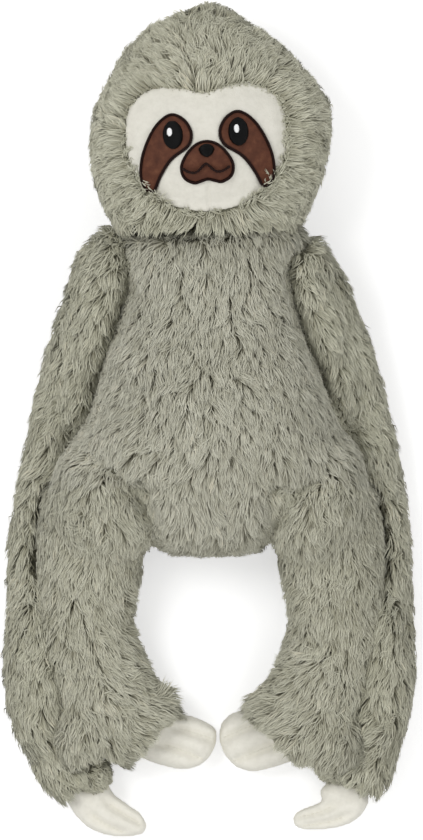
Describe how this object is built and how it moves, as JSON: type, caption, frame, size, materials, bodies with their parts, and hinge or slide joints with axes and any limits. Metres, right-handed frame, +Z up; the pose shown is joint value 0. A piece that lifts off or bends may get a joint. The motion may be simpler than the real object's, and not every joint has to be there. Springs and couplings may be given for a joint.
{
  "type": "plush sloth",
  "caption": "Long-armed plush sloth lying on its back: grey long-pile body, heart-topped white face with brown eye patches, long bowed arms, bent legs and off-white three-digit hands and feet.",
  "frame": {"origin": "bottom centre of the bounding box: the surface that the toy lies on, under its waist", "axes": "The toy lies on its back. +Z points up out of its belly and face, +Y runs from its feet to the top of its head, and +X points to its own left side."},
  "size_m": [0.2433, 0.5016, 0.1142],
  "materials": {
    "grey_long_pile": "sage-grey faux fur with a pile of 9 to 12 mm, combed down the body",
    "off_white_short_pile": "off-white short velour",
    "brown_felt": "matt brown patch cloth",
    "dark_brown_thread": "dark brown satin stitch",
    "black_thread": "black satin stitch",
    "white_thread": "white satin stitch",
    "pale_grey_thread": "pale stitching thread",
    "white_fibre_filling": "loose white polyester fibre"
  },
  "bodies": {
    "torso": {"torso_cover": "grey_long_pile", "torso_filling": "white_fibre_filling"},
    "head": {"head_cover": "grey_long_pile", "head_filling": "white_fibre_filling", "face_panel": "off_white_short_pile", "eye_patch_right": "brown_felt", "eye_patch_left": "brown_felt", "eye_patch_edging_right": "dark_brown_thread", "eye_patch_edging_left": "dark_brown_thread", "eye_right": "black_thread", "eye_left": "black_thread", "eye_highlight_right": "white_thread", "eye_highlight_left": "white_thread", "muzzle_patch": "brown_felt", "muzzle_edging": "dark_brown_thread", "nose": "black_thread", "mouth_stitching": "dark_brown_thread"},
    "arm_right": {"arm_cover_right": "grey_long_pile", "arm_filling_right": "white_fibre_filling"},
    "arm_left": {"arm_cover_left": "grey_long_pile", "arm_filling_left": "white_fibre_filling"},
    "hand_right": {"hand_cover_right": "off_white_short_pile", "hand_filling_right": "white_fibre_filling", "finger_stitching_outer_right": "pale_grey_thread", "finger_stitching_inner_right": "pale_grey_thread"},
    "hand_left": {"hand_cover_left": "off_white_short_pile", "hand_filling_left": "white_fibre_filling", "finger_stitching_outer_left": "pale_grey_thread", "finger_stitching_inner_left": "pale_grey_thread"},
    "leg_right": {"leg_cover_right": "grey_long_pile", "leg_filling_right": "white_fibre_filling"},
    "leg_left": {"leg_cover_left": "grey_long_pile", "leg_filling_left": "white_fibre_filling"},
    "foot_right": {"foot_cover_right": "off_white_short_pile", "foot_filling_right": "white_fibre_filling", "toe_stitching_outer_right": "pale_grey_thread", "toe_stitching_inner_right": "pale_grey_thread"},
    "foot_left": {"foot_cover_left": "off_white_short_pile", "foot_filling_left": "white_fibre_filling", "toe_stitching_outer_left": "pale_grey_thread", "toe_stitching_inner_left": "pale_grey_thread"}
  },
  "joints": [
    {"name": "neck_turn", "type": "hinge", "parent": "torso", "child": "head", "pos_m": [0, 0.1134, 0.048], "axis": [0, 1, 0], "range_deg": [-30, 30]},
    {"name": "shoulder_right", "type": "hinge", "parent": "torso", "child": "arm_right", "pos_m": [-0.068, 0.111, 0.026], "axis": [0, 0, -1], "range_deg": [0, 120]},
    {"name": "shoulder_left", "type": "hinge", "parent": "torso", "child": "arm_left", "pos_m": [0.068, 0.111, 0.026], "axis": [0, 0, 1], "range_deg": [0, 120]},
    {"name": "hip_right", "type": "hinge", "parent": "torso", "child": "leg_right", "pos_m": [-0.065, -0.0357, 0.066], "axis": [-1, 0, 0], "range_deg": [0, 90]},
    {"name": "hip_left", "type": "hinge", "parent": "torso", "child": "leg_left", "pos_m": [0.065, -0.0357, 0.066], "axis": [-1, 0, 0], "range_deg": [0, 90]},
    {"name": "ankle_right", "type": "hinge", "parent": "leg_right", "child": "foot_right", "pos_m": [-0.03404, -0.1932, 0.0245], "axis": [-0.7431, -0.6691, 0], "range_deg": [0, 45]},
    {"name": "ankle_left", "type": "hinge", "parent": "leg_left", "child": "foot_left", "pos_m": [0.03764, -0.1932, 0.0245], "axis": [-0.7547, 0.6561, 0], "range_deg": [0, 45]},
    {"name": "wrist_right", "type": "hinge", "parent": "arm_right", "child": "hand_right", "pos_m": [-0.0768, -0.2224, 0.02], "axis": [-0.8829, -0.4695, 0], "range_deg": [0, 60]},
    {"name": "wrist_left", "type": "hinge", "parent": "arm_left", "child": "hand_left", "pos_m": [0.088, -0.2224, 0.02], "axis": [-0.9848, 0.1736, 0], "range_deg": [0, 60]}
  ]
}
